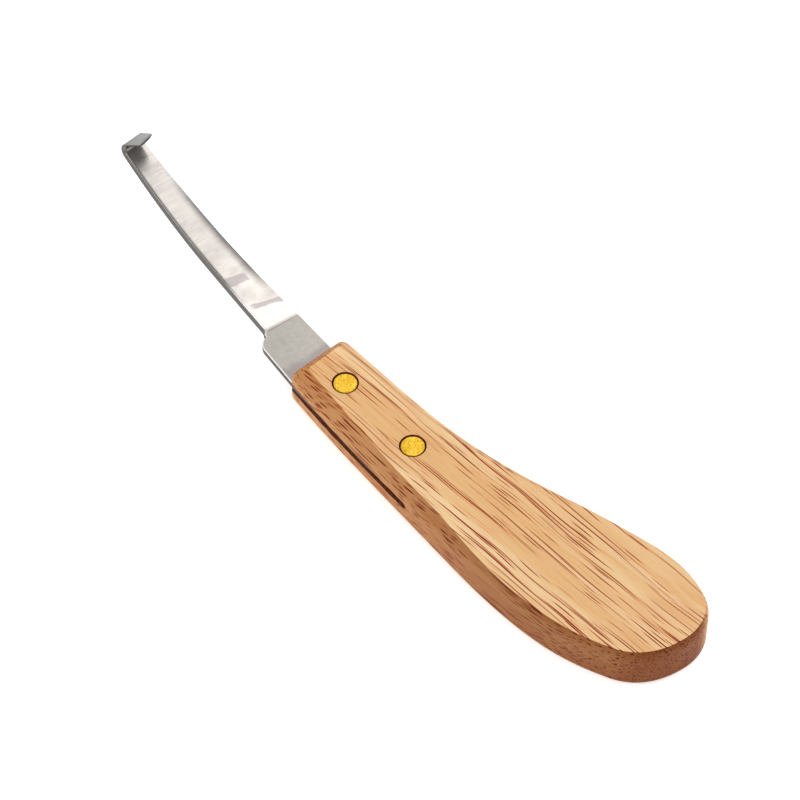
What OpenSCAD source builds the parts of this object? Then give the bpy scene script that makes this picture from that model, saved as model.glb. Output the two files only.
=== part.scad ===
// Hoof knife: curled steel blade let into a sawn slot in a wooden handle and held by two cutlery rivets.
// Millimetres. The knife lies flat with +Z up and +X towards the hooked tip. The origin is on the
// underside of the handle, midway between the two rivets.

/* [Handle] */
// Thickness of the handle from underside to top face
handle_t = 12.6; // [11.5:0.1:15]
// Height over which the worn upper shoulder rolls into the side, front end
shoulder_drop = 4.7; // [3.6:0.1:4.9]
// Height of the rounding along the lower edge, front end
lower_round = 2.6; // [2:0.1:3.6]
// How steeply the upper shoulder leaves the top face, 0 blends in softly
shoulder_crease = 0.35; // [0.1:0.05:0.5]
// Inset of the top face from the side, front end
shoulder_inset = 3.7; // [2.5:0.1:4]
// Inset of the top face from the front end
front_inset = 2.8; // [1.8:0.1:3]
// Inset of the top face from the side, butt end
butt_inset = 0.9; // [0.8:0.1:2]
// Radius of the two front corners seen from above
front_corner_r = 2; // [1:0.1:3]

/* [Slot] */
// Width of the saw cut that takes the tang
slot_t = 2.6; // [2.3:0.1:2.8]
// Height of the slot at its closed back end
slot_end_t = 2.1; // [2.1:0.05:2.6]
// Depth of the saw cut behind the origin
slot_back = 22; // [21.5:0.5:30]

/* [Steel] */
// Thickness of the sheet steel at the tang and ricasso
steel_t = 2; // [1.5:0.1:2.1]
// Gap left above the tang in the slot
tang_gap = 0.05; // [0.03:0.01:0.1]
// Thickness of the ground blade next to the ricasso
blade_t = 1.7; // [1.3:0.05:1.8]
// Thickness of the ground blade at the hook
hook_t = 1.3; // [0.9:0.05:1.5]
// Length of the flat part of the blade past the plunge line
blade_flat = 25.8; // [18:0.1:30]
// Radius of the upward sweep of the blade
sweep_r = 148; // [120:1:200]
// Angle reached by the sweep where the hook starts
sweep_angle = 16; // [10:0.5:18]
// Width of the cutting edge bevel
edge_bevel = 0.7; // [0.4:0.05:1]
// Extra width of the blade half way along
belly = 0.12; // [0:0.02:0.4]
// Width of the shallow bevel along the back edge
back_bevel = 1.3; // [0.8:0.1:2]
// Depth of the slow hand-ground wave in the back edge
back_wave = 0.18; // [0:0.02:0.3]
// How far the cutting edge flares out into the shoulder at the plunge line
edge_flare = 0.8; // [0:0.05:0.9]

/* [Hook] */
// Radius of the tight bend at the tip, to the middle of the steel
hook_r = 1.45; // [1.3:0.05:2.2]
// Angle of the turned-back plate after the tight bend
hook_angle = 141.5; // [120:0.5:145]
// Angle of the bend line from square, near end towards the handle
hook_skew = 6.5; // [0:0.5:10]
// Length of the turned-back plate in the middle
plate_len = 6.6; // [4:0.1:8]
// Radius of the rounded far corner at the free end of the plate
plate_corner_r = 1.6; // [0.5:0.1:2.5]
// Thickness of the free end of the plate
plate_t = 0.6; // [0.5:0.05:1.3]
// How much the free end is cut back towards the back edge, per millimetre of width
end_cut = 0.28; // [0:0.02:0.4]

/* [Rivets] */
// Distance between the two rivets
rivet_pitch = 25.1; // [24:0.1:26]
// Angle of the rivet row from the X axis
rivet_skew = 4.8; // [3:0.1:6]
// Diameter of the rivet heads
head_d = 6.1; // [5.8:0.1:6.3]
// Thickness of the rivet heads
head_t = 1.5; // [1.2:0.1:1.8]
// Depth of the heads below the faces of the handle
head_sink = 0.1; // [0.1:0.05:0.3]
// Diameter of the counterbores that take the heads
bore_d = 6.8; // [6.7:0.1:7.4]
// Sideways play taken up by each rivet in its hole
rivet_play = 0.15; // [0:0.05:0.15]

/* [Hidden] */
$fn = 48;

slot_z = handle_t / 2;                          // middle of the saw cut
slot_end_r = slot_end_t / 2;
slot_taper_x = 20;                              // the slot narrows behind this
steel_top = slot_z + slot_t / 2 - tang_gap;
steel_mid = steel_top - steel_t / 2;
plunge_x = 40.3;                                  // where the ground blade starts
barrel_d = 4.6;                                 // hollow half of a rivet
pin_d = 2.8;                                    // solid half
pin_bore_d = 2.9;
hole_d = barrel_d + 0.5;
seat_gap = 0.05;                                // clear space under each head
front_rivet = [rivet_pitch / 2 * cos(rivet_skew), rivet_pitch / 2 * sin(rivet_skew)];
rear_rivet = -front_rivet;

// Plan outline of the handle at its widest level: position and heading, from the near front corner
// round the butt to the far front corner.
side_nodes = [
    [22.0, 9.95, 179.2], [-26.3, 8.6, 182.8], [-60.3, 6.0, 188.6], [-87.7, -3.5, 210.7],
    [-96.1, -20.1, 270], [-88.5, -31.6, 343.3], [-60.0, -27.85, 378.6], [-26.3, -16.15, 376.3],
    [22.6, -8.4, 367.3]
];
side_steps = [9, 8, 9, 9, 9, 9, 8, 9];
front_near = [24.55, 9.92];                     // sharp front corners before rounding
front_far = [26.15, -8.05];
front_heading = atan2(front_near[1] - front_far[1], front_near[0] - front_far[0]);
inner_corner_r = 0.7;

function unit(a) = [cos(a), sin(a)];
function inward(a) = [-sin(a), cos(a)];
function mix(a, b, k) = a + (b - a) * k;
function ease(k) = let (c = max(0, min(1, k))) c * c * (3 - 2 * c);

// One smooth piece of curve between two nodes, without its last point.
function piece(a, b, steps) =
    let (pa = [a[0], a[1]], pb = [b[0], b[1]], reach = norm(pb - pa) * 0.37,
         qa = pa + unit(a[2]) * reach, qb = pb - unit(b[2]) * reach)
    [for (i = [0 : steps - 1]) let (t = i / steps, u = 1 - t)
        u * u * u * pa + 3 * u * u * t * qa + 3 * u * t * t * qb + t * t * t * pb];

// The butt is thin-edged and the front end full, so both insets change along the length.
function along(x) = ease((10 - x) / 85);
function inset(x) = mix(shoulder_inset, butt_inset, along(x));
function upper_drop(x) = mix(shoulder_drop, 3.2, along(x));
function lower_h(x) = mix(lower_round, 1.5, along(x));

// Node list of the outline moved inwards by k times the inset.
function side_at(k) = [for (n = side_nodes)
    let (m = inward(n[2]) * inset(n[0]) * k) [n[0] + m[0], n[1] + m[1], n[2]]];
function corner(p, h_in, h_out, r) = [
    [p[0] - r * cos(h_in), p[1] - r * sin(h_in), h_in],
    [p[0] + r * cos(h_out), p[1] + r * sin(h_out), h_out]];
function all_nodes(k) =
    let (r = mix(front_corner_r, inner_corner_r, k), d = shoulder_inset * k, e = front_inset * k,
         n0 = side_nodes[0], n8 = side_nodes[8],
         far = front_far + inward(n8[2]) * d + inward(front_heading) * e,
         near = front_near + inward(n0[2]) * d + inward(front_heading) * e,
         cf = corner(far, n8[2] - 360, front_heading, r),
         cn = corner(near, front_heading, n0[2], r),
         s = side_at(k))
    concat([[cn[1][0], cn[1][1], n0[2]]], [for (i = [1 : 7]) s[i]],
           [[cf[0][0], cf[0][1], n8[2]]], [cf[1]], [cn[0]], [[cn[1][0], cn[1][1], n0[2] + 360]]);
all_steps = concat(side_steps, [5, 6, 5]);
function outline(k) = let (n = all_nodes(k))
    [for (i = [0 : len(all_steps) - 1]) each piece(n[i], n[i + 1], all_steps[i])];

// Levels from the underside up: share of the inset and height at a point.
low_steps = 7;
up_steps = 9;
widest = outline(0);
topface = outline(1);
function low_point(i, j) = let (a = 90 * j / low_steps, x = widest[i][0], h = lower_h(x),
    p = mix(topface[i], widest[i], sin(a))) [p[0], p[1], h * (1 - cos(a))];
function up_point(i, j) = let (t = 1 - j / up_steps, x = widest[i][0], d = upper_drop(x),
    p = mix(widest[i], topface[i], (1 - t) * (1 - t)))
    [p[0], p[1], handle_t - d * (2 * t * (1 - t) * shoulder_crease + t * t)];
levels = concat([for (j = [0 : low_steps]) [0, j]], [for (j = [0 : up_steps]) [1, j]]);

// Closed skin through equal rings, with flat ends.
module loft(rings) {
    n = len(rings[0]);
    m = len(rings);
    polyhedron(
        points = [for (r = rings) each r],
        faces = concat(
            [[for (i = [0 : n - 1]) i]],
            [for (j = [0 : m - 2], i = [0 : n - 1]) let (k = (i + 1) % n)
                each [[j * n + i, (j + 1) * n + k, j * n + k],
                      [j * n + i, (j + 1) * n + i, (j + 1) * n + k]]],
            [[for (i = [n - 1 : -1 : 0]) (m - 1) * n + i]]));
}

// The skin runs a little past both faces, and the slab trims it to true flats.
module handle_skin() {
    ring = [for (i = [0 : len(widest) - 1]) i];
    loft(concat(
        [[for (i = ring) [topface[i][0], topface[i][1], -1]]],
        [for (v = levels) [for (i = ring) v[0] == 0 ? low_point(i, v[1]) : up_point(i, v[1])]],
        [[for (i = ring) [topface[i][0], topface[i][1], handle_t + 1]]]));
}

module handle() {
    color("burlywood") difference() {
        intersection() {
            handle_skin();
            translate([-110, -50, 0]) cube([150, 80, handle_t]);
        }
        // Saw cut, open at the front and at both sides, with a rounded bottom
        translate([0, 30, slot_z]) rotate([90, 0, 0]) linear_extrude(height = 80)
            polygon(concat(
                [[slot_taper_x, -slot_t / 2], [40, -slot_t / 2], [40, slot_t / 2]],
                [for (a = [90 : 22.5 : 270])
                    [slot_end_r * cos(a) - slot_back, slot_t / 2 + slot_end_r * (sin(a) - 1)]]));
        for (p = [front_rivet, rear_rivet]) translate([p[0], p[1], 0]) {
            translate([0, 0, -1]) cylinder(d = hole_d, h = handle_t + 2);
            translate([0, 0, -1]) cylinder(d = bore_d, h = 1 + head_sink + head_t + seat_gap);
            translate([0, 0, handle_t - head_sink - head_t - seat_gap])
                cylinder(d = bore_d, h = 3);
        }
    }
}

// Flat steel: tail of the tang, tang, ricasso and the first part under the ground blade.
shoulder_r = 3.6;
shoulder_c = [35.8, 5.75];
module flat_steel() {
    translate([0, 0, steel_top - steel_t]) linear_extrude(height = steel_t) difference() {
        polygon(concat(
            [[plunge_x, -4.25], [plunge_x, shoulder_c[1] + shoulder_r * sin(12)]],
            [for (a = [12 : 6.5 : 90]) shoulder_c + shoulder_r * unit(a)],
            [[22, 9.7], [-7, 9.1]],
            piece([-7, 9.1, 182], [-19.6, -1, 270], 12),
            piece([-19.6, -1, 270], [-10, -4.6, 360], 6),
            [[-10, -4.6], [27.7, -4.68]]));
        translate(front_rivet) circle(d = hole_d);
        translate(rear_rivet) circle(d = hole_d);
    }
}

// Middle line of the ground blade seen from the side: a flat, then the upward sweep.
blade_x0 = plunge_x - 0.6;
flat_len = plunge_x + blade_flat - blade_x0;
blade_len = flat_len + sweep_r * sweep_angle * PI / 180;
function path(s) = let (a = max(0, s - flat_len) / sweep_r * 180 / PI)
    [blade_x0 + min(s, flat_len) + sweep_r * sin(a), steel_mid + sweep_r * (1 - cos(a)), a];

// Half thickness and edges of the blade, by the share k of its length.
function half_t(k) = mix(blade_t, hook_t, k) / 2;
function near_y(k) = mix(6, 4.35, k) + 4 * belly * k * (1 - k)
    + edge_flare * pow(max(0, 1 - k * blade_len / 2.4), 2);
function far_y(k) = mix(-4.25, -2.25, k) + back_wave * sin(360 * k);

// Section across the steel: bevelled cutting edge on the near side, shallow bevel on the back.
function section(n, f, h) = [[f + back_bevel, h], [f, h - 0.3], [f, -h],
    [n - 0.05, -h], [n, -h + 0.15], [n - edge_bevel, h]];

// Sections turn towards the bend line over the last stretch before it.
mid_y = 1;
skew_len = 12;
function station(s) =
    let (k = s / blade_len, turn = tan(hook_skew) * ease((s - blade_len) / skew_len + 1))
    [for (q = section(near_y(k), far_y(k), half_t(k)))
        let (p = path(s - turn * (q[0] - mid_y)))
        [p[0] - q[1] * sin(p[2]), q[0], p[1] + q[1] * cos(p[2])]];

// Back edge of the hook's free plate.
plate_far = -1.95;

// Past the bend line: w is the distance past it, measured square to it along the steel.
roll_len = hook_r * (hook_angle - sweep_angle) * PI / 180;
function bent(w, y, h) =
    let (o = path(blade_len), a = min(w, roll_len) / hook_r * 180 / PI, past = max(0, w - roll_len),
         u = hook_r * sin(a) + past * cos(a) - h * sin(a),
         v = hook_r * (1 - cos(a)) + past * sin(a) + h * cos(a),
         side = (y - mid_y - w * sin(hook_skew)) / cos(hook_skew),
         run = u * cos(hook_skew) - side * sin(hook_skew))
    [o[0] + run * cos(sweep_angle) - v * sin(sweep_angle),
     mid_y + u * sin(hook_skew) + side * cos(hook_skew),
     o[1] + run * sin(sweep_angle) + v * cos(sweep_angle)];
function roll_station(w) =
    let (k = min(1, w / roll_len), g = max(0, w - roll_len) / plate_len,
         into = max(0, w - roll_len - plate_len + plate_corner_r) / plate_corner_r,
         trim = plate_corner_r * (1 - sqrt(max(0, 1 - into * into))),
         far = mix(far_y(1), plate_far, k) + trim)
    [for (q = section(mix(near_y(1), 3.95, k), far, mix(hook_t, plate_t, g) / 2))
        bent(w + g * end_cut * (q[0] - mid_y), q[0], q[1])];
stops = concat(
    [for (s = [0, 0.6, 1.2, 1.8, 2.4]) s],
    [for (i = [1 : 3]) mix(2.4, flat_len, i / 4)],
    [for (i = [0 : 13]) mix(flat_len, blade_len, i / 14)]);

module blade() {
    color("silver") union() {
        flat_steel();
        loft(concat([for (s = stops) station(s)],
            [for (i = [0 : 12]) roll_station(roll_len * i / 12)],
            [for (i = [1 : 8]) roll_station(roll_len + plate_len * sin(90 * i / 8))]));
    }
}

// Solid half, head on top; its pin presses into the hollow half.
module male_half(at, play) {
    translate([at[0] + play, at[1], 0]) {
        translate([0, 0, handle_t - head_sink - head_t]) {
            cylinder(d = head_d, h = head_t - 0.3);
            translate([0, 0, head_t - 0.3]) cylinder(d1 = head_d, d2 = head_d - 0.5, h = 0.3);
        }
        translate([0, 0, head_sink + head_t + 0.6])
            cylinder(d = pin_d, h = handle_t - 2 * head_sink - 2 * head_t - 0.5);
    }
}

// Hollow half, head on the underside; its barrel stops just short of the other head.
module female_half(at, play) {
    translate([at[0] + play, at[1], 0]) difference() {
        union() {
            translate([0, 0, head_sink]) cylinder(d1 = head_d - 0.5, d2 = head_d, h = 0.3);
            translate([0, 0, head_sink + 0.3]) cylinder(d = head_d, h = head_t - 0.3);
            translate([0, 0, head_sink + head_t - 0.1])
                cylinder(d = barrel_d, h = handle_t - 2 * head_sink - 2 * head_t);
        }
        translate([0, 0, head_sink + head_t])
            cylinder(d = pin_bore_d, h = handle_t);
    }
}

module front_rivet_male() { color("gold") male_half(front_rivet, rivet_play); }
module front_rivet_female() { color("goldenrod") female_half(front_rivet, rivet_play); }
module rear_rivet_male() { color("gold") male_half(rear_rivet, -rivet_play); }
module rear_rivet_female() { color("goldenrod") female_half(rear_rivet, -rivet_play); }

blade();
handle();
front_rivet_male();
front_rivet_female();
rear_rivet_male();
rear_rivet_female();
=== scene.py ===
import math

import bmesh
import bpy
from mathutils import Matrix, Vector


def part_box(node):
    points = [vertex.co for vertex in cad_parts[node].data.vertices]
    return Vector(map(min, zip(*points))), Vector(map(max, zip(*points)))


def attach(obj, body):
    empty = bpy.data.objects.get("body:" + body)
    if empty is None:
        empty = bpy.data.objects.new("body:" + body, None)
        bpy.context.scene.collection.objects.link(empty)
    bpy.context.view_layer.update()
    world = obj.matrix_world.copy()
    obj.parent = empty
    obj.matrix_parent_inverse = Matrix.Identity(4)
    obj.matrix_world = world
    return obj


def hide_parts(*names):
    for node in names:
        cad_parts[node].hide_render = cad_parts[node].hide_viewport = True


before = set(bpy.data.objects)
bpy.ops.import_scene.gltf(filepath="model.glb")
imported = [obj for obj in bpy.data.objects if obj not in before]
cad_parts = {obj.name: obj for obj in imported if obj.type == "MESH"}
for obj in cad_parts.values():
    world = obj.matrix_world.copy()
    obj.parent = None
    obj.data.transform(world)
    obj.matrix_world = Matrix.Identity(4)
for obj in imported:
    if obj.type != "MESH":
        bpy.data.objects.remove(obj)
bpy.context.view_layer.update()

MM = 0.001

# Sizes in mm, as in the part's source. The handle's height and the rivet places are read from model.glb.
HANDLE_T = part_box("handle")[1].z / MM
SLOT_T = 2.6
SLOT_Z = HANDLE_T / 2
SLOT_BACK = 22.0
SLOT_END_R = 1.05
SLOT_TAPER_X = 20.0
SLOT_FRONT = 40.0
SLOT_SIDES = (-60.0, 40.0)
SHOULDER_DROP, BUTT_DROP = 4.7, 3.2
SHOULDER_CREASE = 0.35
LOWER_ROUND, BUTT_ROUND = 2.6, 1.5
SHOULDER_INSET, BUTT_INSET = 3.7, 0.9
FRONT_INSET = 2.8
FRONT_CORNER_R, INNER_CORNER_R = 2.0, 0.7
WEAR_FROM_X, WEAR_LEN = 10.0, 85.0
SHARP_HANDLE_ANGLE = 16.0
STEEL_T = 2.0
TANG_GAP = 0.05
STEEL_TOP = SLOT_Z + SLOT_T / 2 - TANG_GAP
STEEL_MID = STEEL_TOP - STEEL_T / 2
BLADE_T, HOOK_T, PLATE_T = 1.7, 1.3, 0.6
PLATE_RIM_R = 0.35
PLUNGE_X = 40.3
BLADE_OVERLAP = 0.6
BLADE_FLAT = 25.8
NEAR_Y, NEAR_Y_HOOK, NEAR_Y_PLATE = 6.0, 4.35, 3.95
FAR_Y, FAR_Y_HOOK, FAR_Y_PLATE = -4.25, -2.25, -1.95
BELLY, BACK_WAVE = 0.12, 0.18
EDGE_FLARE, FLARE_LEN = 0.8, 2.4
PLUNGE_RISE, PLUNGE_RUN = 0.14, 1.6
SWEEP_R, SWEEP_ANGLE = 148.0, 16.0
HOOK_R, HOOK_ANGLE, HOOK_SKEW = 1.45, 141.5, 6.5
PLATE_LEN = 6.6
PLATE_CORNER_R = 1.6
END_CUT = 0.28
EDGE_BEVEL, BACK_BEVEL, BACK_FALL = 0.7, 1.3, 0.3
EDGE_LIP, EDGE_LEAN = 0.15, 0.05
SECTION_RADII = (0.4, 0.1, 0.1, 0.05, 0.05, 0.3)
MID_Y = 1.0
HEAD_D, HEAD_T, HEAD_SINK = 6.1, 1.5, 0.1
BORE_D, HOLE_D = 6.8, 5.1
BARREL_D, PIN_D, PIN_BORE_D = 4.6, 2.8, 2.9
SEAT_GAP = 0.05
HEAD_ROUND, HEAD_EASE = 0.32, 0.1
DOME_R, DOME_EDGE, DOME_RISE = 1.6, 0.02, 0.03
PIN_GAP, PIN_TIP_IN, PIN_TIP_LEN, BARREL_CHAMFER = 0.6, 0.3, 0.4, 0.2
CURVE_REACH = 0.37
FINENESS = 4
TOOL_STEPS = 72

# Looks. Places in the materials are in metres, like the object place that they start from.
GRAIN_TURN = 8.0
# Tints multiplied onto the wood: the sides (partly oil, partly painted shade), the front end, the sides
# towards the butt and the sloping shoulder (painted shade), and the end grain.
SIDE_OIL_AND_PAINTED_SHADE = (0.72, 0.55, 0.42, 1.0)
FRONT_OIL = (0.84, 0.86, 0.92, 1.0)
BUTT_PAINTED_SHADE = (0.60, 0.47, 0.38, 1.0)
SHOULDER_PAINTED_SHADE = (0.92, 0.85, 0.80, 1.0)
END_OIL = (0.76, 0.60, 0.45, 1.0)
# Painted dark reflection bands across the ground blade: place along it, half width, and start and end
# across it.
DARK_REFLECTION_BANDS = ((0.0502, 0.0012, -0.0060, 0.0052), (0.0604, 0.0020, -0.0012, 0.0062))
DARK_REFLECTION_SLANT = -0.20
# The cutting edge seen from above: its y at x 0 and its fall per metre of x.
EDGE_Y, EDGE_FALL = 0.00706, -0.0243
# Pores of the wood: cell across and along the grain, radius as a share of the cell, and seed.
PORES = (
    (0.00078, 0.090, 0.225, 0.0),
    (0.00074, 0.060, 0.225, 0.61),
    (0.00076, 0.040, 0.215, 0.23),
    (0.00068, 0.018, 0.200, 0.37),
)


def centre_of(node):
    low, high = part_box(node)
    return [(low.x + high.x) / 2 / MM, (low.y + high.y) / 2 / MM]


RIVETS = {
    name: [(a + b) / 2 for a, b in zip(centre_of(name + "_male"), centre_of(name + "_female"))]
    for name in ("front_rivet", "rear_rivet")
}


# ---------------------------------------------------------------- small maths

def mix(a, b, k):
    return a + (b - a) * k


def ease(k):
    c = max(0.0, min(1.0, k))
    return c * c * (3 - 2 * c)


def sin_d(a):
    return math.sin(math.radians(a))


def cos_d(a):
    return math.cos(math.radians(a))


def blend_points(p, q, k):
    return [mix(a, b, k) for a, b in zip(p, q)]


def curve(a, b, steps):
    """Cubic between two [x, y, heading] nodes, without its last point."""
    reach = math.dist(a[:2], b[:2]) * CURVE_REACH
    qa = [a[0] + reach * cos_d(a[2]), a[1] + reach * sin_d(a[2])]
    qb = [b[0] - reach * cos_d(b[2]), b[1] - reach * sin_d(b[2])]
    points = []
    for i in range(steps):
        t = i / steps
        u = 1 - t
        weights = (u ** 3, 3 * u * u * t, 3 * u * t * t, t ** 3)
        corners = (a, qa, qb, b)
        points.append([sum(w * c[axis] for w, c in zip(weights, corners)) for axis in (0, 1)])
    return points


# ---------------------------------------------------------------- mesh helpers

def make_object(name, points, faces):
    """A mesh object from points in mm."""
    mesh = bpy.data.meshes.new(name)
    mesh.from_pydata([[c * MM for c in p] for p in points], [], faces)
    obj = bpy.data.objects.new(name, mesh)
    bpy.context.scene.collection.objects.link(obj)
    clean(obj)
    return obj


def clean(obj, sharp_angle=35.0):
    """Welds the mesh and shades it smooth. Edges that turn by more than sharp_angle stay crisp."""
    mesh = obj.data
    work = bmesh.new()
    work.from_mesh(mesh)
    bmesh.ops.remove_doubles(work, verts=work.verts, dist=0.002 * MM)
    bmesh.ops.dissolve_degenerate(work, edges=work.edges, dist=0.001 * MM)
    bmesh.ops.recalc_face_normals(work, faces=work.faces)
    work.to_mesh(mesh)
    work.free()
    mesh.shade_smooth()
    mesh.set_sharp_from_angle(angle=math.radians(sharp_angle))
    mesh.update()


def loft(rings):
    """Closed skin over rings of equal length, with a flat cap at each end."""
    n = len(rings[0])
    points = [p for ring in rings for p in ring]
    faces = [list(range(n))[::-1], [(len(rings) - 1) * n + i for i in range(n)]]
    for j in range(len(rings) - 1):
        for i in range(n):
            k = (i + 1) % n
            faces.append([j * n + i, j * n + k, (j + 1) * n + k, (j + 1) * n + i])
    return points, faces


def lathe(profile, centre, steps=96):
    """Closed solid turned round a vertical axis; the profile starts and ends on the axis."""
    on_axis = 1e-6
    points, faces = [], []
    rows = []
    for r, z in profile:
        if r < on_axis:
            rows.append([len(points)])
            points.append([centre[0], centre[1], z])
            continue
        rows.append(list(range(len(points), len(points) + steps)))
        for i in range(steps):
            a = 360 * i / steps
            points.append([centre[0] + r * cos_d(a), centre[1] + r * sin_d(a), z])
    for low, high in zip(rows, rows[1:]):
        for i in range(steps):
            k = (i + 1) % steps
            if len(low) == 1:
                faces.append([low[0], high[k], high[i]])
            elif len(high) == 1:
                faces.append([low[i], low[k], high[0]])
            else:
                faces.append([low[i], low[k], high[k], high[i]])
    return points, faces


def cut(target, tool, operation="DIFFERENCE"):
    """Applies one exact boolean and removes the tool."""
    step = target.modifiers.new("cut", "BOOLEAN")
    step.operation = operation
    step.solver = "EXACT"
    step.material_mode = "TRANSFER"
    step.object = tool
    bpy.context.view_layer.update()
    result = bpy.data.meshes.new_from_object(
        target.evaluated_get(bpy.context.evaluated_depsgraph_get()))
    target.modifiers.clear()
    target.data = result
    bpy.data.objects.remove(tool)


def make_tool(points, faces, material):
    """A solid to cut or join with; the faces that it leaves keep its material."""
    tool = make_object("tool", points, faces)
    tool.data.materials.append(MATERIALS[material])
    return tool


def turned_tool(profile, centre, material):
    return make_tool(*lathe(profile, centre, TOOL_STEPS), material)


# ---------------------------------------------------------------- handle

# Sharp outline of the handle's widest level: x, y and heading, from the front's near corner.
SIDE_NODES = [
    [22.0, 9.95, 179.2], [-26.3, 8.6, 182.8], [-60.3, 6.0, 188.6], [-87.7, -3.5, 210.7],
    [-96.1, -20.1, 270], [-88.5, -31.6, 343.3], [-60.0, -27.85, 378.6], [-26.3, -16.15, 376.3],
    [22.6, -8.4, 367.3],
]
PIECE_STEPS = [9, 8, 9, 9, 9, 9, 8, 9, 5, 6, 5]
FRONT_NEAR = [24.55, 9.92]
FRONT_FAR = [26.15, -8.05]
FRONT_HEADING = math.degrees(math.atan2(FRONT_NEAR[1] - FRONT_FAR[1], FRONT_NEAR[0] - FRONT_FAR[0]))


def along(x):
    """Share of the way from the full front to the thin-edged butt."""
    return ease((WEAR_FROM_X - x) / WEAR_LEN)


def move_in(p, heading, distance):
    return [p[0] - distance * sin_d(heading), p[1] + distance * cos_d(heading)]


def corner(p, heading_in, heading_out, r):
    return [
        [p[0] - r * cos_d(heading_in), p[1] - r * sin_d(heading_in), heading_in],
        [p[0] + r * cos_d(heading_out), p[1] + r * sin_d(heading_out), heading_out],
    ]


def outline(k):
    """Outline of the handle, at its widest for k 0 and round its flat faces for k 1."""
    r = mix(FRONT_CORNER_R, INNER_CORNER_R, k)
    first, last = SIDE_NODES[0], SIDE_NODES[-1]
    far = move_in(move_in(FRONT_FAR, last[2], SHOULDER_INSET * k), FRONT_HEADING, FRONT_INSET * k)
    near = move_in(move_in(FRONT_NEAR, first[2], SHOULDER_INSET * k), FRONT_HEADING, FRONT_INSET * k)
    far_a, far_b = corner(far, last[2] - 360, FRONT_HEADING, r)
    near_a, near_b = corner(near, FRONT_HEADING, first[2], r)
    sides = [
        move_in(n, n[2], k * mix(SHOULDER_INSET, BUTT_INSET, along(n[0]))) + [n[2]]
        for n in SIDE_NODES[1:-1]
    ]
    nodes = [near_b] + sides + [[far_a[0], far_a[1], last[2]], far_b, near_a]
    nodes.append([near_b[0], near_b[1], first[2] + 360])
    points = []
    for a, b, steps in zip(nodes, nodes[1:], PIECE_STEPS):
        points += curve(a, b, steps * FINENESS)
    return points


def handle_rings():
    widest, flat = outline(0), outline(1)
    low_rows, high_rows = 12, 16
    rings = []
    for j in range(low_rows + 1):
        a = 90 * j / low_rows
        ring = []
        for w, f in zip(widest, flat):
            p = blend_points(f, w, sin_d(a))
            ring.append(p + [mix(LOWER_ROUND, BUTT_ROUND, along(w[0])) * (1 - cos_d(a))])
        rings.append(ring)
    for j in range(high_rows + 1):
        t = 1 - j / high_rows
        ring = []
        for w, f in zip(widest, flat):
            p = blend_points(w, f, (1 - t) ** 2)
            drop = mix(SHOULDER_DROP, BUTT_DROP, along(w[0]))
            ring.append(p + [HANDLE_T - drop * (2 * t * (1 - t) * SHOULDER_CREASE + t * t)])
        rings.append(ring)
    return rings


def slot_tool():
    steps = 24
    profile = [[SLOT_TAPER_X, -SLOT_T / 2], [SLOT_FRONT, -SLOT_T / 2], [SLOT_FRONT, SLOT_T / 2]]
    for i in range(steps + 1):
        a = 90 + 180 * i / steps
        profile.append([SLOT_END_R * cos_d(a) - SLOT_BACK,
                        SLOT_T / 2 + SLOT_END_R * (sin_d(a) - 1)])
    rings = [[[x, y, SLOT_Z + z] for x, z in profile] for y in SLOT_SIDES]
    return make_tool(*loft(rings), "sawn")


def bore_tool(centre):
    """Through hole with a counterbore at each face, as one turned solid."""
    seat = HEAD_SINK + HEAD_T + SEAT_GAP
    low, high = -1.0, HANDLE_T + 1.0
    profile = [[0, low], [BORE_D / 2, low], [BORE_D / 2, seat], [HOLE_D / 2, seat],
               [HOLE_D / 2, HANDLE_T - seat], [BORE_D / 2, HANDLE_T - seat],
               [BORE_D / 2, high], [0, high]]
    return turned_tool(profile, centre, "sawn")


def build_handle():
    obj = make_object("handle_wood", *loft(handle_rings()))
    obj.data.materials.append(MATERIALS["wood"])
    cut(obj, slot_tool())
    for centre in RIVETS.values():
        cut(obj, bore_tool(centre))
    clean(obj, SHARP_HANDLE_ANGLE)
    return obj


# ---------------------------------------------------------------- blade

BLADE_X0 = PLUNGE_X - BLADE_OVERLAP
FLAT_LEN = PLUNGE_X + BLADE_FLAT - BLADE_X0
BLADE_LEN = FLAT_LEN + SWEEP_R * math.radians(SWEEP_ANGLE)
ROLL_LEN = HOOK_R * math.radians(HOOK_ANGLE - SWEEP_ANGLE)
SHOULDER_R = 3.6
SHOULDER_C = [35.8, 5.75]
SHOULDER_ARC = (12.0, 90.0)
SKEW_LEN = 12.0


def path(s):
    """Middle line of the ground blade seen from the side: x, z and angle at s along it."""
    a = math.degrees(max(0.0, s - FLAT_LEN) / SWEEP_R)
    return (BLADE_X0 + min(s, FLAT_LEN) + SWEEP_R * sin_d(a),
            STEEL_MID + SWEEP_R * (1 - cos_d(a)), a)


def near_y(k):
    """Cutting edge of the ground blade, at the share k of its length."""
    flare = EDGE_FLARE * max(0, 1 - k * BLADE_LEN / FLARE_LEN) ** 2
    return mix(NEAR_Y, NEAR_Y_HOOK, k) + 4 * BELLY * k * (1 - k) + flare


def far_y(k):
    """Back edge of the ground blade, with its slow hand-ground wave."""
    return mix(FAR_Y, FAR_Y_HOOK, k) + BACK_WAVE * sin_d(360 * k)


def rounded(corners, radii, steps=3):
    """The corners of a closed outline, each replaced by a small arc."""
    longest = 0.45
    points = []
    n = len(corners)
    for i, p in enumerate(corners):
        before, after = Vector(corners[i - 1]), Vector(corners[(i + 1) % n])
        p = Vector(p)
        reach = min(radii[i], (before - p).length * longest, (after - p).length * longest)
        a = p + (before - p).normalized() * reach
        b = p + (after - p).normalized() * reach
        for j in range(steps + 1):
            t = j / steps
            points.append(list(a * (1 - t) ** 2 + p * 2 * t * (1 - t) + b * t * t))
    return points


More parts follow.
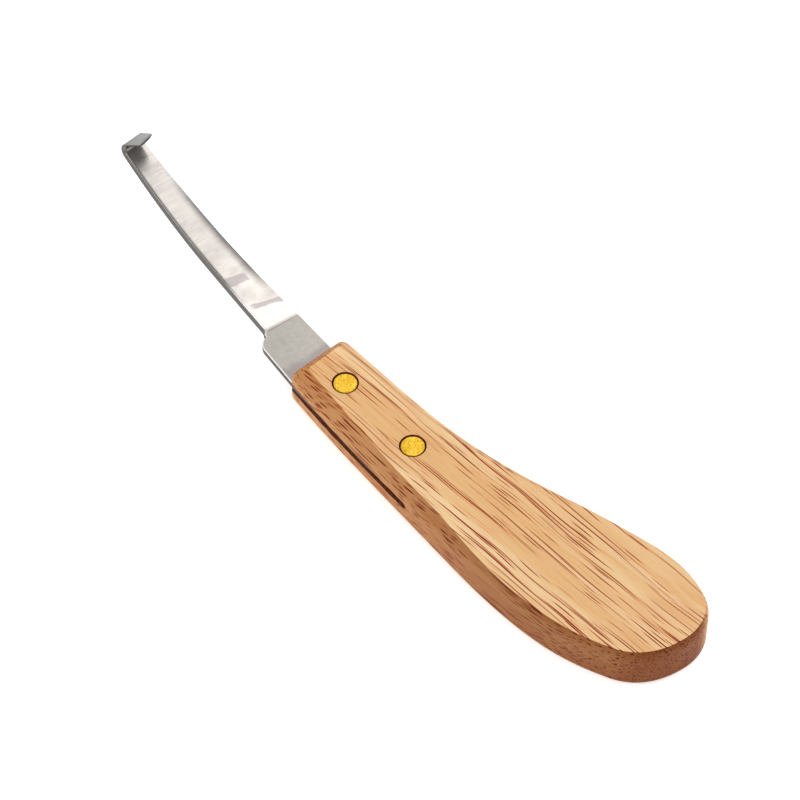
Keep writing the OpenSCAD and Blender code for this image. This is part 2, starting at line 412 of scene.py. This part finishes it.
def section(near, far, half, rise=0.0):
    """Across the steel: bevelled cutting edge on the near side, shallow bevel on the back."""
    corners = [[far + BACK_BEVEL, half + rise], [far, half - BACK_FALL + rise], [far, -half],
               [near - EDGE_LEAN, -half], [near, -half + EDGE_LIP],
               [near - EDGE_BEVEL, half + rise]]
    return rounded(corners, SECTION_RADII)


def station(s):
    """Section of the ground blade at s. It turns towards the bend line over the last stretch."""
    k = s / BLADE_LEN
    turn = math.tan(math.radians(HOOK_SKEW)) * ease((s - BLADE_LEN) / SKEW_LEN + 1)
    ramp = PLUNGE_RISE * max(0, 1 - max(0, s - BLADE_OVERLAP) / PLUNGE_RUN) ** 2
    ring = []
    for y, h in section(near_y(k), far_y(k), mix(BLADE_T, HOOK_T, k) / 2, ramp):
        x, z, a = path(s - turn * (y - MID_Y))
        ring.append([x - h * sin_d(a), y, z + h * cos_d(a)])
    return ring


def bent(w, y, h):
    """A point past the bend line: w along the steel, y across it, h above its middle."""
    ox, oz, _ = path(BLADE_LEN)
    a = math.degrees(min(w, ROLL_LEN) / HOOK_R)
    past = max(0.0, w - ROLL_LEN)
    u = HOOK_R * sin_d(a) + past * cos_d(a) - h * sin_d(a)
    v = HOOK_R * (1 - cos_d(a)) + past * sin_d(a) + h * cos_d(a)
    side = (y - MID_Y - w * sin_d(HOOK_SKEW)) / cos_d(HOOK_SKEW)
    run = u * cos_d(HOOK_SKEW) - side * sin_d(HOOK_SKEW)
    return [ox + run * cos_d(SWEEP_ANGLE) - v * sin_d(SWEEP_ANGLE),
            MID_Y + u * sin_d(HOOK_SKEW) + side * cos_d(HOOK_SKEW),
            oz + run * sin_d(SWEEP_ANGLE) + v * cos_d(SWEEP_ANGLE)]


def roll_station(w):
    """Section of the hook at w past the bend line, with the plate's far corner rounded off."""
    k = min(1.0, w / ROLL_LEN)
    g = max(0.0, w - ROLL_LEN) / PLATE_LEN
    half = mix(HOOK_T, PLATE_T, g) / 2
    into = max(0.0, w - ROLL_LEN - PLATE_LEN + PLATE_CORNER_R) / PLATE_CORNER_R
    trim = PLATE_CORNER_R * (1 - math.sqrt(max(0.0, 1 - into * into)))
    near, far = mix(near_y(1), NEAR_Y_PLATE, k), mix(far_y(1), FAR_Y_PLATE, k)
    corners = section(near, far + trim, half)
    return [bent(w + g * END_CUT * (y - MID_Y), y, h) for y, h in corners]


def blade_rings():
    flare_steps, flat_steps, sweep_steps, roll_steps, plate_steps = 24, 40, 40, 36, 24
    rings = [station(FLARE_LEN * i / flare_steps) for i in range(flare_steps)]
    rings += [station(mix(FLARE_LEN, FLAT_LEN, i / flat_steps)) for i in range(flat_steps)]
    rings += [station(mix(FLAT_LEN, BLADE_LEN, i / sweep_steps)) for i in range(sweep_steps)]
    rings += [roll_station(ROLL_LEN * i / roll_steps) for i in range(roll_steps)]
    rings += [roll_station(ROLL_LEN + PLATE_LEN * sin_d(90 * i / plate_steps))
              for i in range(plate_steps + 1)]
    return rings


def plate_outline():
    """Flat steel seen from above, anticlockwise: ricasso, tang and the tail round the rear rivet."""
    steps = 24
    points = [[PLUNGE_X, FAR_Y], [PLUNGE_X, SHOULDER_C[1] + SHOULDER_R * sin_d(SHOULDER_ARC[0])]]
    for i in range(steps + 1):
        a = mix(*SHOULDER_ARC, i / steps)
        points.append([SHOULDER_C[0] + SHOULDER_R * cos_d(a), SHOULDER_C[1] + SHOULDER_R * sin_d(a)])
    points += curve([22, 9.7, 181.2], [-7, 9.1, 181.2], 16)
    points += curve([-7, 9.1, 182], [-19.6, -1, 270], 36)
    points += curve([-19.6, -1, 270], [-10, -4.6, 360], 18)
    points += [[-10, -4.6], [27.7, -4.68]]
    return points


def pulled_in(points, distance):
    """An anticlockwise outline moved inward by distance."""
    sharpest = 0.5
    moved = []
    n = len(points)
    for i, p in enumerate(points):
        before, after = points[i - 1], points[(i + 1) % n]
        a = Vector((p[0] - before[0], p[1] - before[1])).normalized()
        b = Vector((after[0] - p[0], after[1] - p[1])).normalized()
        mid = (a + b).normalized()
        reach = distance / max(sharpest, a.dot(mid))
        moved.append([p[0] - mid.y * reach, p[1] + mid.x * reach])
    return moved


def build_blade():
    r, steps = PLATE_RIM_R, 6
    bottom = STEEL_TOP - STEEL_T
    low, high = bottom - 1, STEEL_TOP + 1
    hole = [[0, low], [HOLE_D / 2, low], [HOLE_D / 2, high], [0, high]]
    arc = [90 * i / steps for i in range(steps + 1)]
    levels = [(r * (1 - sin_d(a)), bottom + r * (1 - cos_d(a))) for a in arc]
    levels += [(r * (1 - cos_d(a)), STEEL_TOP - r * (1 - sin_d(a))) for a in arc]
    edge = plate_outline()
    rings = [[p + [z] for p in pulled_in(edge, d)] for d, z in levels]
    obj = make_object("blade_steel", *loft(rings))
    obj.data.materials.append(MATERIALS["rolled"])
    for centre in RIVETS.values():
        cut(obj, turned_tool(hole, centre, "rolled"))
    cut(obj, make_tool(*loft(blade_rings()), "ground"), "UNION")
    clean(obj)
    return obj


# ---------------------------------------------------------------- rivets

def rim(r, z, round_r, up, steps=6):
    """Rounded outer rim of a head, from the side wall towards the face."""
    points = []
    for i in range(steps + 1):
        a = 90 * i / steps
        points.append([r - round_r * (1 - cos_d(a)), z - up * round_r * (1 - sin_d(a))])
    return points


def male_half(centre):
    """Head on top, with a solid pin below it."""
    top = HANDLE_T - HEAD_SINK
    under = top - HEAD_T
    end = HEAD_SINK + HEAD_T + PIN_GAP
    profile = [[0, end], [PIN_D / 2 - PIN_TIP_IN, end], [PIN_D / 2, end + PIN_TIP_LEN],
               [PIN_D / 2, under], [HEAD_D / 2 - HEAD_EASE, under], [HEAD_D / 2, under + HEAD_EASE]]
    profile += rim(HEAD_D / 2, top, HEAD_ROUND, 1)
    profile += [[DOME_R, top + DOME_EDGE], [0, top + DOME_RISE]]
    return lathe(profile, centre)


def female_half(centre):
    """Head on the underside, with a hollow barrel above it."""
    face = HEAD_SINK
    seat = face + HEAD_T
    barrel_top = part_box("front_rivet_female")[1].z / MM
    profile = [[0, face - DOME_RISE], [DOME_R, face - DOME_EDGE]]
    profile += rim(HEAD_D / 2, face, HEAD_ROUND, -1)[::-1]
    profile += [[HEAD_D / 2, seat - HEAD_EASE], [HEAD_D / 2 - HEAD_EASE, seat], [BARREL_D / 2, seat],
                [BARREL_D / 2, barrel_top - BARREL_CHAMFER],
                [BARREL_D / 2 - BARREL_CHAMFER, barrel_top],
                [PIN_BORE_D / 2, barrel_top], [PIN_BORE_D / 2, seat], [0, seat]]
    return lathe(profile, centre)


# ---------------------------------------------------------------- materials

class Nodes:
    """Short forms for building one node material."""

    def __init__(self, name):
        self.material = bpy.data.materials.new(name)
        self.material.use_nodes = True
        self.tree = self.material.node_tree
        self.shader = self.tree.nodes["Principled BSDF"]
        self.place = self.add("ShaderNodeTexCoord").outputs["Object"]

    def add(self, kind, **settings):
        node = self.tree.nodes.new(kind)
        for key, value in settings.items():
            setattr(node, key, value)
        return node

    def link(self, source, target):
        if hasattr(source, "is_output"):
            self.tree.links.new(source, target)
        else:
            target.default_value = source

    def mapped(self, sizes, turn=(0, 0, 0), move=(0, 0, 0), source=None):
        """A place for patterns of these sizes along x, y and z, with those axes turned by turn."""
        spin = self.add("ShaderNodeMapping", vector_type="TEXTURE")
        spin.inputs["Rotation"].default_value = [math.radians(a) for a in turn]
        spin.inputs["Location"].default_value = move
        self.link(source or self.place, spin.inputs["Vector"])
        stretch = self.add("ShaderNodeVectorMath", operation="MULTIPLY")
        self.link(spin.outputs[0], stretch.inputs[0])
        stretch.inputs[1].default_value = [1 / size for size in sizes]
        return stretch.outputs[0]

    def noise(self, vector, size=1.0, detail=2.0, rough=0.5, out="Fac"):
        node = self.add("ShaderNodeTexNoise")
        self.link(vector, node.inputs["Vector"])
        node.inputs["Scale"].default_value = 1 / size
        node.inputs["Detail"].default_value = detail
        node.inputs["Roughness"].default_value = rough
        return node.outputs[out]

    def voronoi(self, vector, size=1.0):
        node = self.add("ShaderNodeTexVoronoi")
        self.link(vector, node.inputs["Vector"])
        node.inputs["Scale"].default_value = 1 / size
        return node.outputs["Distance"], node.outputs["Color"]

    def math(self, operation, a, b=0.0, c=0.0):
        node = self.add("ShaderNodeMath", operation=operation)
        for value, socket in zip((a, b, c), node.inputs):
            self.link(value, socket)
        return node.outputs[0]

    def span(self, value, low, high, out_low=0.0, out_high=1.0, smooth=True):
        node = self.add("ShaderNodeMapRange")
        if smooth:
            node.interpolation_type = "SMOOTHSTEP"
        for key, number in zip(("Value", "From Min", "From Max", "To Min", "To Max"),
                               (value, low, high, out_low, out_high)):
            self.link(number, node.inputs[key])
        return node.outputs[0]

    def mix(self, share, a, b, blend="MIX"):
        node = self.add("ShaderNodeMix", data_type="RGBA", blend_type=blend)
        self.link(share, node.inputs[0])
        self.link(a, node.inputs[6])
        self.link(b, node.inputs[7])
        return node.outputs[2]

    def axes(self, vector=None):
        node = self.add("ShaderNodeSeparateXYZ")
        self.link(vector or self.place, node.inputs[0])
        return node.outputs

    def shift(self, vector, noise_colour, amount):
        """vector moved by a noise colour, for waviness."""
        centred = self.add("ShaderNodeVectorMath", operation="SUBTRACT")
        self.link(noise_colour, centred.inputs[0])
        centred.inputs[1].default_value = (0.5, 0.5, 0.5)
        scaled = self.add("ShaderNodeVectorMath", operation="MULTIPLY")
        self.link(centred.outputs[0], scaled.inputs[0])
        scaled.inputs[1].default_value = amount
        total = self.add("ShaderNodeVectorMath", operation="ADD")
        self.link(vector, total.inputs[0])
        self.link(scaled.outputs[0], total.inputs[1])
        return total.outputs[0]

    def bump(self, height, distance, strength=1.0):
        node = self.add("ShaderNodeBump")
        node.inputs["Strength"].default_value = strength
        node.inputs["Distance"].default_value = distance
        self.link(height, node.inputs["Height"])
        return node.outputs[0]

    def finish(self, colour, rough, normal=None, metal=0.0, **fixed):
        self.link(colour, self.shader.inputs["Base Color"])
        self.link(rough, self.shader.inputs["Roughness"])
        self.shader.inputs["Metallic"].default_value = metal
        for name, value in fixed.items():
            self.shader.inputs[name.replace("_", " ")].default_value = value
        if normal is not None:
            self.link(normal, self.shader.inputs["Normal"])
        return self.material


def colour(r, g, b):
    """Display colour, 0 to 255, as linear light."""
    def linear(c):
        c /= 255
        return c / 12.92 if c <= 0.04045 else ((c + 0.055) / 1.055) ** 2.4
    return (linear(r), linear(g), linear(b), 1.0)


def wood_material():
    """Light open-grained wood, sanded and oiled. Its pores are long thin vessels in the solid, so they
    show as streaks along the top, short dashes on the sides and dots on the butt."""
    m = Nodes("wood_oiled")
    turn = (0.0, 0.3, GRAIN_TURN)
    wave = m.noise(m.mapped((0.032, 0.012, 0.012), turn), detail=1, out="Color")
    place = m.shift(m.place, wave, (0.0, 0.0026, 0.0004))

    # Growth bands and fibres.
    bands = m.noise(m.mapped((0.14, 0.0050, 0.0090), turn, source=place), detail=3)
    tone = m.mix(m.span(bands, 0.35, 0.65), colour(212, 168, 116), colour(223, 191, 145))
    blush = m.noise(m.mapped((0.020, 0.006, 0.006), turn), detail=2)
    tone = m.mix(m.span(blush, 0.5, 0.75, 0.0, 0.35), tone, colour(203, 141, 91))
    fibre = m.noise(m.mapped((0.010, 0.0003, 0.0003), turn, source=place),
                    detail=3, rough=0.6)
    tone = m.mix(m.span(fibre, 0.25, 0.6, 0.25, 0.0), tone, colour(172, 116, 64))

    # Pores in four sizes, denser in some bands and on the sides (part of the painted shade there), and a
    # few dark checks.
    normal = m.axes(m.add("ShaderNodeTexCoord").outputs["Normal"])
    # Mask of the sides for the painted shade: full on the near side, a tenth of it on the far side,
    # which faces the light.
    side = m.span(m.math("ABSOLUTE", normal[2]), 0.985, 0.90)
    side = m.math("MULTIPLY", side, m.span(normal[1], -0.75, -0.2, 0.1, 1.0))
    dense = m.math("SUBTRACT", m.span(bands, 0.30, 0.70, 0.02, -0.02), m.math("MULTIPLY", side, 0.01))
    pores = halos = 0.0
    for across, length, core, seed in PORES:
        cell, tint = m.voronoi(m.mapped((length, across, across), turn, (seed,) * 3, source=place))
        fade = m.span(m.axes(tint)[0], 0.1, 0.6, 0.4, 1.0, smooth=False)
        depth = m.math("ADD", cell, dense)
        pore = m.math("MULTIPLY", fade, m.span(depth, core * 0.8, core, 1, 0))
        halo = m.math("MULTIPLY", fade, m.span(depth, core, core + 0.07, 1, 0))
        pores = m.math("MAXIMUM", pores, pore)
        halos = m.math("MAXIMUM", halos, halo)
    tone = m.mix(m.math("MULTIPLY", halos, 0.6), tone, colour(190, 94, 44))
    tone = m.mix(m.math("MULTIPLY", pores, 0.97), tone, colour(122, 34, 10))
    cell, tint = m.voronoi(m.mapped((0.070, 0.0030, 0.0030), turn, (0.7,) * 3, source=place))
    rare = m.span(m.axes(tint)[1], 0.5, 0.7)
    checks = m.math("MULTIPLY", m.span(cell, 0.04, 0.075, 1.0, 0.0), rare)
    tone = m.mix(checks, tone, colour(52, 20, 10))

    # Painted shade, partly oil: the sides are darker than the flat faces, and the sloping shoulder and
    # the sides towards the butt darker still; the front end and the end grain get tints of their own.
    front = m.math("MULTIPLY", side, m.span(normal[0], 0.3, 0.7))
    butt = m.math("MULTIPLY", side, m.span(m.axes()[0], 0.010, -0.078))
    tone = m.mix(side, tone, SIDE_OIL_AND_PAINTED_SHADE, "MULTIPLY")
    tone = m.mix(front, tone, FRONT_OIL, "MULTIPLY")
    shoulder = m.math("MULTIPLY", side, m.span(normal[2], 0.2, 0.5))
    tone = m.mix(shoulder, tone, SHOULDER_PAINTED_SHADE, "MULTIPLY")
    end = m.math("MULTIPLY", side, m.span(normal[0], -0.3, -0.8))
    tone = m.mix(end, tone, END_OIL, "MULTIPLY")
    tone = m.mix(butt, tone, BUTT_PAINTED_SHADE, "MULTIPLY")

    rough = m.span(pores, 0, 1, 0.5, 0.75)
    height = m.math("SUBTRACT", m.math("MULTIPLY", fibre, 0.2), m.math("ADD", pores, checks))
    return m.finish(tone, rough, m.bump(height, 0.00008, 0.35), Specular_IOR_Level=0.12)


def sawn_shaded_material():
    """The walls of the saw cut and the bores: rough and dark brown, a painted shade inside these
    recesses.
    """
    m = Nodes("wood_sawn_painted_shade")
    marks = m.noise(m.mapped((0.0006, 0.02, 0.02), (0, 0, 20)), detail=3)
    tone = m.mix(m.span(marks, 0.3, 0.7), colour(98, 46, 22), colour(134, 72, 38))
    return m.finish(tone, 0.85, m.bump(marks, 0.0001, 0.6), Specular_IOR_Level=0.2)


def wall_shade_and_arris_light(m, tone, wall, arris):
    """tone on the flat faces, painted light along the near arris, and painted shade on the wall below
    it.
    """
    normal = m.axes(m.add("ShaderNodeTexCoord").outputs["Normal"])
    tone = m.mix(m.span(normal[1], 0.06, 0.15), tone, arris)
    return m.mix(m.span(normal[1], 0.70, 0.90), tone, wall)


def rolled_material():
    """Steel as rolled: matte grey with a fine mottle, and a painted purplish reflection of the handle
    next to it.
    """
    m = Nodes("steel_rolled")
    mottle = m.noise(m.place, 0.0012, 5, 0.65)
    patch = m.noise(m.place, 0.007, 3, 0.55)
    tone = m.mix(m.span(mottle, 0.3, 0.7), colour(147, 143, 136), colour(168, 163, 156))
    x = m.axes()[0]
    # Painted reflection of the wood handle, purplish grey, on the steel next to it.
    handle_reflection = m.span(m.math("ADD", x, m.math("MULTIPLY", patch, 0.006)), 0.0325, 0.0300)
    tone = m.mix(m.math("MULTIPLY", handle_reflection, 0.55), tone, colour(126, 116, 120))
    tone = m.mix(m.span(patch, 0.56, 0.72, 0.0, 0.35), tone, colour(132, 125, 125))
    # Painted shade on the edge wall and a painted highlight line on the near arris.
    tone = wall_shade_and_arris_light(m, tone, colour(82, 79, 78), colour(220, 218, 213))
    grit = m.noise(m.place, 0.00025, 2, 0.6)
    rough = m.span(mottle, 0.3, 0.7, 0.42, 0.55)
    return m.finish(tone, rough, m.bump(grit, 0.00003, 0.5), metal=1.0)


def ground_material():
    """Ground and brushed steel, with the marks running across the blade and painted dark reflection
    bands in places.
    """
    m = Nodes("steel_ground")
    brush = m.noise(m.mapped((0.00020, 0.008, 0.008)), detail=4, rough=0.65)
    broad = m.noise(m.mapped((0.006, 0.010, 0.010)), detail=4, rough=0.6)
    x, y, z = m.axes()
    # Painted highlight: the blade gets lighter towards the plunge.
    bright = m.span(x, 0.078, 0.048)
    tone = m.mix(bright, colour(163, 158, 153), colour(196, 190, 184))
    tone = m.mix(m.span(brush, 0.3, 0.7, 0.0, 0.45), tone, colour(210, 205, 200))
    tone = m.mix(m.span(broad, 0.45, 0.75, 0.0, 0.45), tone, colour(150, 142, 139))
    bend = m.math("ADD", m.math("MULTIPLY", y, DARK_REFLECTION_SLANT), m.math("MULTIPLY", broad, 0.004))
    run = m.math("ADD", x, bend)
    # Painted dark reflections: grey bands across the blade.
    for centre, width, y_low, y_high in DARK_REFLECTION_BANDS:
        off = m.math("ABSOLUTE", m.math("SUBTRACT", run, centre))
        far_end, near_end = m.span(y, y_low, y_low + 0.0008), m.span(y, y_high, y_high - 0.0022)
        reach = m.math("MULTIPLY", far_end, near_end)
        share = m.math("MULTIPLY", m.span(off, width, width * 0.7), reach)
        tone = m.mix(m.math("MULTIPLY", share, 0.65), tone, colour(136, 126, 128))
    # Painted shade: a darker band past the plunge line, and the plunge line itself.
    start = m.math("SUBTRACT", x, PLUNGE_X * MM)
    tone = m.mix(m.span(start, 0.0014, 0.0007, 0.0, 0.6), tone, colour(163, 152, 149))
    tone = m.mix(m.span(start, 0.0004, 0.0002), tone, colour(140, 133, 129))
    # Painted shade: the back edge fades to dark grey over the middle of the blade.
    middle = m.math("MULTIPLY", m.span(x, 0.046, 0.062), m.span(x, 0.100, 0.084))
    back = m.math("MULTIPLY", m.span(y, -0.0004, -0.0032), middle)
    tone = m.mix(m.math("MULTIPLY", back, 0.85), tone, colour(72, 69, 69))
    # The bent end is darker and bluish.
    tone = m.mix(m.span(z, 0.0126, 0.0140), tone, colour(100, 100, 103))
    # Painted shade: a mid-grey strip along the cutting edge over the outer half of the blade.
    edge = m.math("MULTIPLY_ADD", x, EDGE_FALL, EDGE_Y)
    edge_shade_strip = m.span(m.math("SUBTRACT", edge, y), 0.0015, 0.0010)
    outer = m.span(x, 0.050, 0.066, 0.0, 0.85)
    tone = m.mix(m.math("MULTIPLY", edge_shade_strip, outer), tone, colour(128, 125, 122))
    # Painted light on the near arris: a highlight by the plunge, turning to painted shade further out;
    # painted shade on the edge wall.
    arris = m.mix(m.span(x, 0.048, 0.062), colour(214, 211, 208), colour(108, 105, 102))
    tone = wall_shade_and_arris_light(m, tone, colour(96, 93, 91), arris)
    rough = m.span(broad, 0.3, 0.7, 0.25, 0.36)
    return m.finish(tone, rough, m.bump(brush, 0.00003, 0.4), metal=1.0)


def brass_material():
    """Brass heads with a fine pressed texture and small dents."""
    m = Nodes("brass_pressed")
    speck = m.noise(m.place, 0.00045, 3, 0.7)
    dents = m.voronoi(m.place, 0.0007)[0]
    stain = m.noise(m.place, 0.002, 2, 0.5)
    tone = m.mix(m.span(stain, 0.3, 0.7), colour(196, 153, 42), colour(212, 172, 60))
    tone = m.mix(m.span(speck, 0.48, 0.68, 0.0, 0.45), tone, colour(150, 104, 24))
    height = m.math("ADD", speck, m.span(dents, 0.1, 0.4, -0.6, 0.0))
    return m.finish(tone, m.span(speck, 0.3, 0.7, 0.30, 0.45), m.bump(height, 0.00012, 1.0),
                    metal=1.0)


MATERIALS = {
    "wood": wood_material(),
    "sawn": sawn_shaded_material(),
    "rolled": rolled_material(),
    "ground": ground_material(),
    "brass": brass_material(),
}


# ---------------------------------------------------------------- pieces

def place_piece(obj, node):
    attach(obj, "root")
    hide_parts(node)


place_piece(build_handle(), "handle")
place_piece(build_blade(), "blade")
for rivet in RIVETS:
    for half, shape in (("male", male_half), ("female", female_half)):
        node = rivet + "_" + half
        head = make_object(node + "_brass", *shape(centre_of(node)))
        head.data.materials.append(MATERIALS["brass"])
        place_piece(head, node)


# ---------------------------------------------------------------- stage

def make_floor():
    """Plain white paper that reaches three metres each way."""
    half, steps = 3000.0, 8
    edge = [mix(-half, half, i / steps) for i in range(steps + 1)]
    points = [[x, y, 0.0] for y in edge for x in edge]
    row = steps + 1
    faces = [[j * row + i, j * row + i + 1, (j + 1) * row + i + 1, (j + 1) * row + i]
             for j in range(steps) for i in range(steps)]
    mesh = bpy.data.meshes.new("floor")
    mesh.from_pydata([[c * MM for c in p] for p in points], [], faces)
    floor = bpy.data.objects.new("floor", mesh)
    bpy.context.scene.collection.objects.link(floor)
    m = Nodes("floor_paper")
    tone = m.mix(m.noise(m.place, 0.4, 2), (0.93, 0.93, 0.93, 1), (0.96, 0.96, 0.96, 1))
    mesh.materials.append(m.finish(tone, 0.9, Specular_IOR_Level=0.0, Emission_Strength=0.45,
                                   Emission_Color=(1, 1, 1, 1)))


def aim(obj, place, target):
    obj.location = place
    obj.rotation_mode = "QUATERNION"
    obj.rotation_quaternion = (Vector(place) - Vector(target)).to_track_quat("Z", "Y")


def make_light(name, place, size, power):
    data = bpy.data.lights.new(name, "AREA")
    data.shape = "RECTANGLE"
    data.size, data.size_y = size
    data.energy = power
    light = bpy.data.objects.new(name, data)
    bpy.context.scene.collection.objects.link(light)
    aim(light, place, (0, 0, 0))


def make_world():
    world = bpy.data.worlds.new("studio")
    world.use_nodes = True
    background = world.node_tree.nodes["Background"]
    background.inputs["Color"].default_value = (1, 1, 1, 1)
    background.inputs["Strength"].default_value = 0.80
    bpy.context.scene.world = world


def make_camera():
    heading, elevation, distance = 144.0, 53.10, 0.9106
    target = Vector((0.0081, -0.0123, 0.0))
    back = Vector((cos_d(elevation) * cos_d(heading), cos_d(elevation) * sin_d(heading),
                   sin_d(elevation)))
    right = Vector((-sin_d(heading), cos_d(heading), 0))
    turn = Matrix((right, back.cross(right), back)).transposed()
    data = bpy.data.cameras.new("camera")
    data.sensor_width = 36.0
    data.lens = 164.0
    data.clip_start, data.clip_end = 0.05, 20
    camera = bpy.data.objects.new("camera", data)
    bpy.context.scene.collection.objects.link(camera)
    camera.matrix_world = Matrix.Translation(target + back * distance) @ turn.to_4x4()
    bpy.context.scene.camera = camera


make_floor()
make_world()
make_light("key", (0.40, -0.85, 1.15), (2.0, 2.0), 16)
make_light("edge", (0.6, 1.0, 0.45), (0.4, 0.4), 3)
make_camera()
bpy.context.scene.view_settings.view_transform = "Standard"
